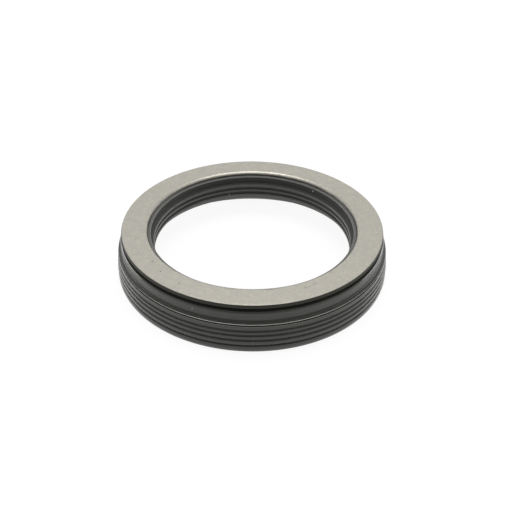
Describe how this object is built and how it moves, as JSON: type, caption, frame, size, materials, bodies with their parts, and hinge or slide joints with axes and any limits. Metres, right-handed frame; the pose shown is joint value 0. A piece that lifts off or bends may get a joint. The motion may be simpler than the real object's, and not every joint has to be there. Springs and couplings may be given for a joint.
{
  "type": "axle oil seal",
  "caption": "Cassette wheel-end oil seal: a flanged steel sleeve with a ribbed rubber bore, turning inside a ribbed rubber-covered steel case.",
  "frame": {"origin": "on the seal's axis, at the open end of the case that it stands on", "axes": "+Z along the axis towards the sleeve's flange; X and Y are any two directions across the ring"},
  "size_m": [0.1528, 0.1528, 0.0279],
  "materials": {
    "cup_steel": "bare pressed sheet steel, dull",
    "jacket_rubber": "moulded nitrile rubber, matte black",
    "lip_rubber": "moulded nitrile rubber, satin black",
    "spring_steel": "drawn spring wire, bright",
    "sleeve_steel": "bare cold-rolled sheet steel, matte with a fine grain"
  },
  "bodies": {
    "case": {"outer_cup": "cup_steel", "outer_jacket": "jacket_rubber", "lip_carrier": "cup_steel", "sealing_lip": "lip_rubber", "garter_spring": "spring_steel"},
    "sleeve": {"inner_sleeve": "sleeve_steel", "sleeve_liner": "jacket_rubber"}
  },
  "joints": [
    {"name": "sleeve_turn", "type": "hinge", "parent": "case", "child": "sleeve", "pos_m": [0, 0, 0.0136], "axis": [0, 0, 1], "continuous": true}
  ]
}
